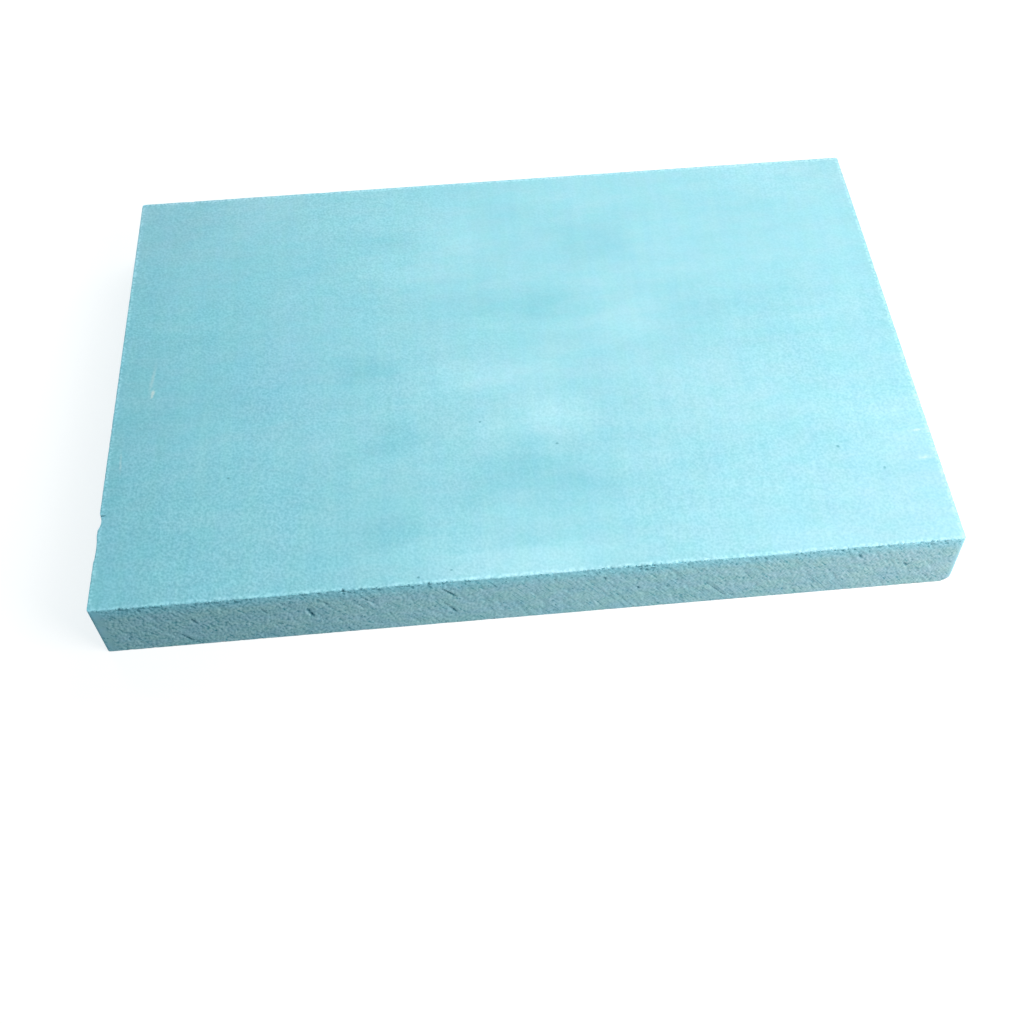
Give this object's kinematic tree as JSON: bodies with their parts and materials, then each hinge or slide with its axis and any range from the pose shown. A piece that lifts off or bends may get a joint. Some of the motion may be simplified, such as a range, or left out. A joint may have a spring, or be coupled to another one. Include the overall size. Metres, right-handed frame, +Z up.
{
  "type": "foam block",
  "caption": "Flat rectangular slab of rigid blue foam with planed broad faces and sawn edges, for bench packing, modelling and insulation.",
  "frame": {"origin": "centre of the underside", "axes": "+X along the length, +Y along the width to the back, +Z up through the thickness"},
  "size_m": [0.3, 0.2, 0.027],
  "materials": {
    "xps_foam": "matt, fine closed cells"
  },
  "bodies": {
    "root": {"foam_block": "xps_foam"}
  },
  "joints": []
}
